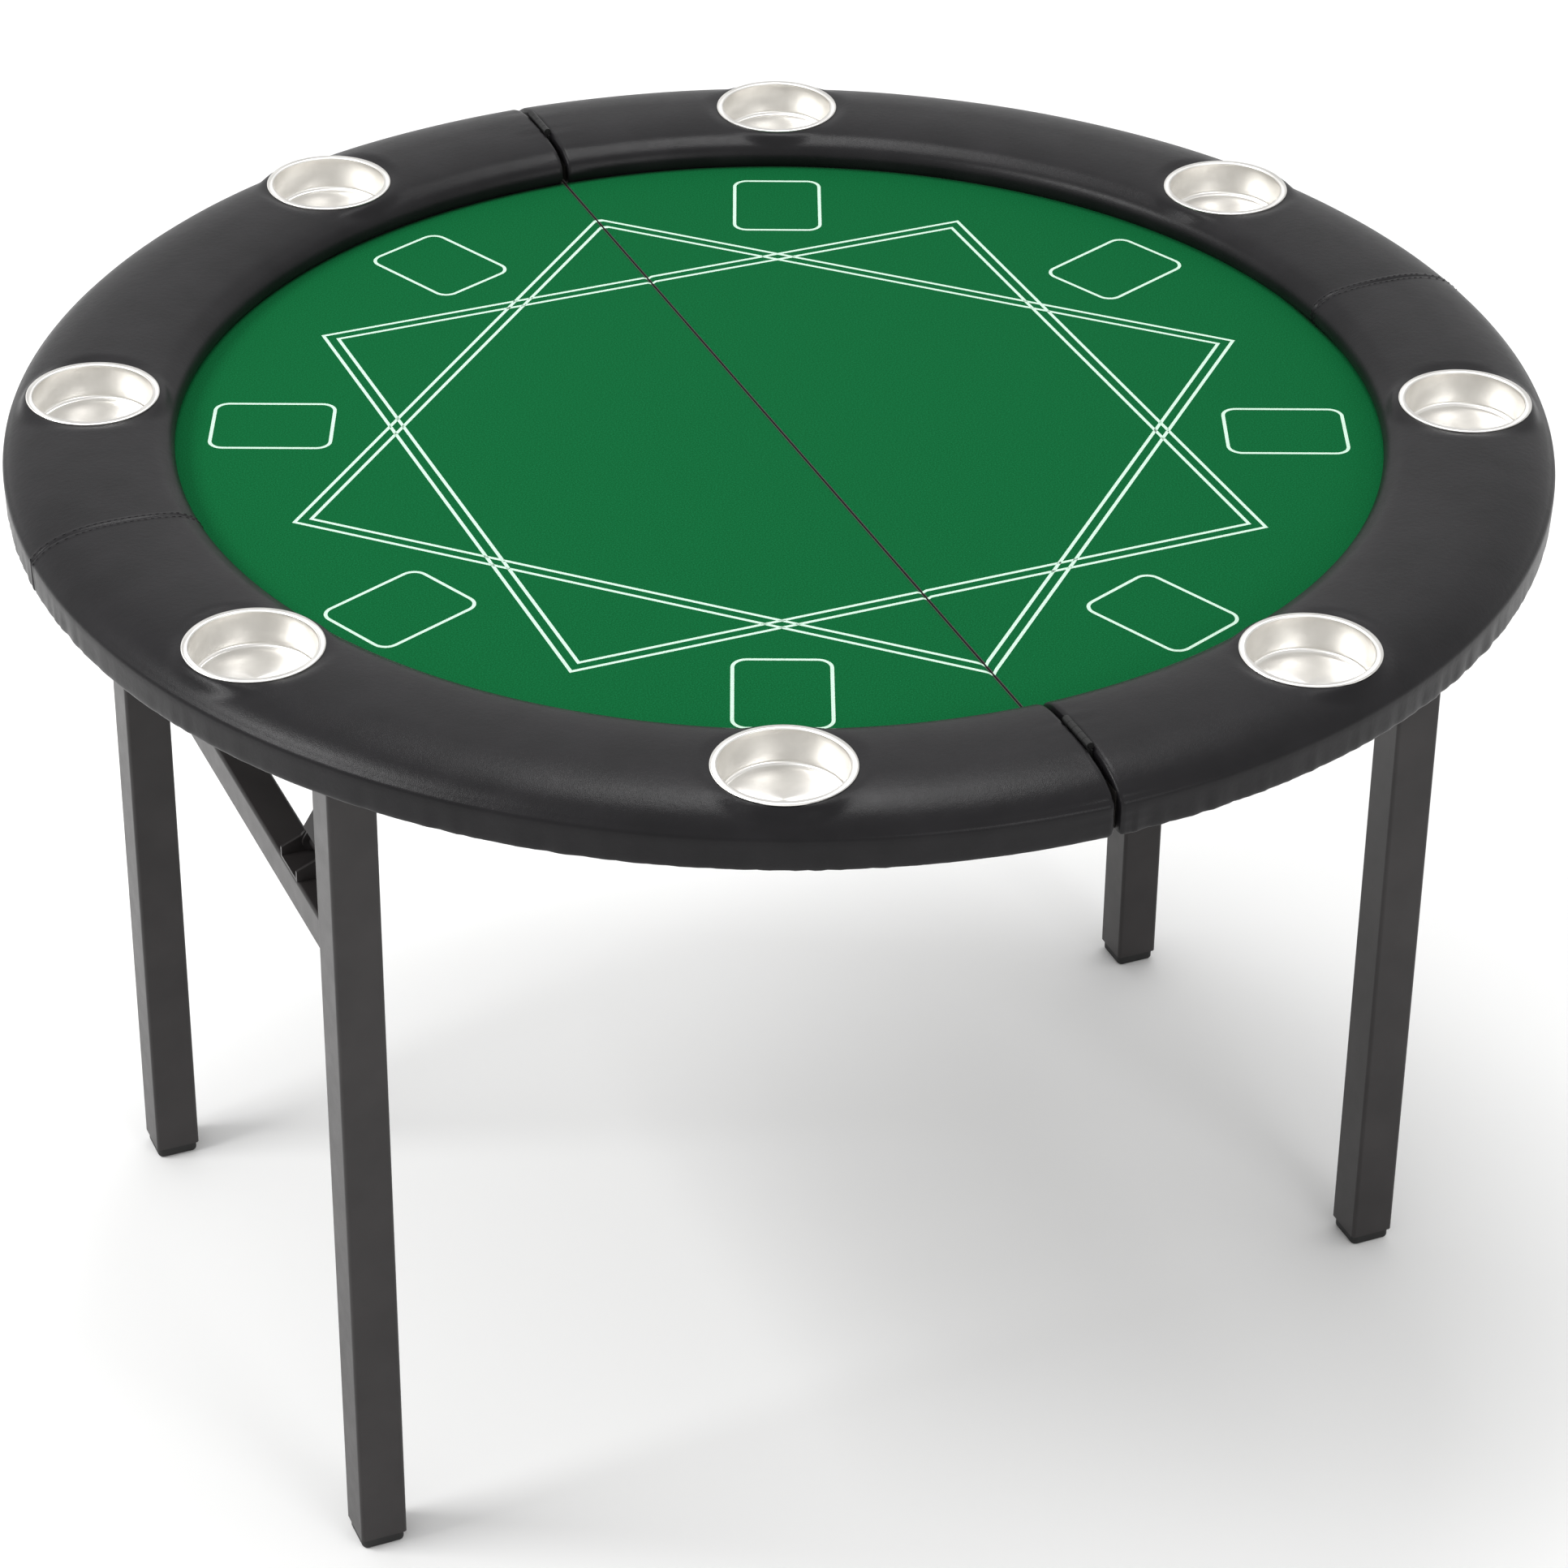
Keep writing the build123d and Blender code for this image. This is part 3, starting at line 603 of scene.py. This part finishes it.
def make_cup(key):
    """A turned cup, with a map that runs round it for the turning marks."""
    centre, side_name = CUPS[key], key.split("_")[0]
    points, turns = cup_profile(), CUP_TURNS
    verts, faces = [], []
    for i in range(turns):
        a = 2 * pi * i / turns
        verts += [(centre.x + r * cos(a), centre.y + r * sin(a), z) for r, z in points]
    count = len(points)
    for i in range(turns):
        k = (i + 1) % turns
        for j in range(count - 1):
            faces.append((i * count + j, k * count + j, k * count + j + 1, i * count + j + 1))
    faces.append(tuple(i * count for i in reversed(range(turns))))
    faces.append(tuple(i * count + count - 1 for i in range(turns)))
    cup = from_faces(f"cup_{key}", verts, faces)
    finish_piece(cup, MATERIALS["cup_steel"], f"half_{side_name}")
    recalc_normals(cup)
    uv = cup.data.uv_layers.new(name="around")
    for loop in cup.data.loops:
        co = cup.data.vertices[loop.vertex_index].co
        a = atan2(co.y - centre.y, co.x - centre.x) / (2 * pi)
        uv.data[loop.index].uv = (a, hypot(co.x - centre.x, co.y - centre.y) * 10 + co.z * 10)
    for polygon in cup.data.polygons:
        us = [uv.data[i].uv.x for i in polygon.loop_indices]
        if max(us) - min(us) > 0.5:
            for i in polygon.loop_indices:
                if uv.data[i].uv.x < 0:
                    uv.data[i].uv.x += 1
    cup.data.set_sharp_from_angle(angle=radians(40))
    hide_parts(f"cup_holder_{key}")


# ---------------------------------------------------------------- stage, camera and lights
CAMERA_AT = Vector((-1.3583, -3.1873, FELT_Z + 1.881))
CAMERA_AIM = Vector((-0.1999, -0.4834, FELT_Z))
CAMERA_ROLL = radians(0.63)
LENS_MM, SENSOR_MM = 113.87, 36.0


def make_stage():
    floor_mesh = bmesh.new()
    bmesh.ops.create_grid(floor_mesh, x_segments=2, y_segments=2, size=14)
    floor = from_bmesh("floor", floor_mesh)
    m = Nodes("pale_floor")
    m.shade(Base_Color=(0.94, 0.94, 0.935, 1), Roughness=0.8)
    floor.data.materials.append(m.material)


def make_camera():
    data = bpy.data.cameras.new("camera")
    data.lens, data.sensor_width = LENS_MM, SENSOR_MM
    data.clip_end = 60
    camera = link_object("camera", data)
    turn = (CAMERA_AIM - CAMERA_AT).to_track_quat("-Z", "Y").to_matrix().to_4x4()
    camera.matrix_world = Matrix.Translation(CAMERA_AT) @ turn @ Matrix.Rotation(CAMERA_ROLL, 4, "Z")
    bpy.context.scene.camera = camera


def area_light(name, place, aim, size, power):
    data = bpy.data.lights.new(name, "AREA")
    data.shape, data.size, data.size_y, data.energy = "RECTANGLE", size[0], size[1], power
    light = link_object(name, data)
    turn = (Vector(aim) - Vector(place)).to_track_quat("-Z", "Y").to_matrix().to_4x4()
    light.matrix_world = Matrix.Translation(place) @ turn


def make_lights():
    area_light("key", (-3.2, 0.4, 3.4), (0, 0, 0.6), (1.8, 1.2), 95)
    area_light("overhead", (0.4, 0.8, 4.2), (0, 0, 0.7), (1.6, 1.2), 60)
    area_light("front", (0.9, -4.4, 2.6), (0.1, -0.3, 0.7), (1.5, 0.8), 34)
    world = bpy.data.worlds.new("studio")
    world.use_nodes = True
    world.node_tree.nodes["Background"].inputs["Color"].default_value = (1, 1, 1, 1)
    world.node_tree.nodes["Background"].inputs["Strength"].default_value = 0.85
    bpy.context.scene.world = world
    bpy.context.scene.view_settings.view_transform = "Standard"


dress_cad_nodes()
for table_side in SIDES:
    make_felt(table_side)
    make_print(table_side)
    make_pad(table_side)
    make_stitches(table_side)
for cup_key in CUPS:
    make_cup(cup_key)
make_stage()
make_camera()
make_lights()
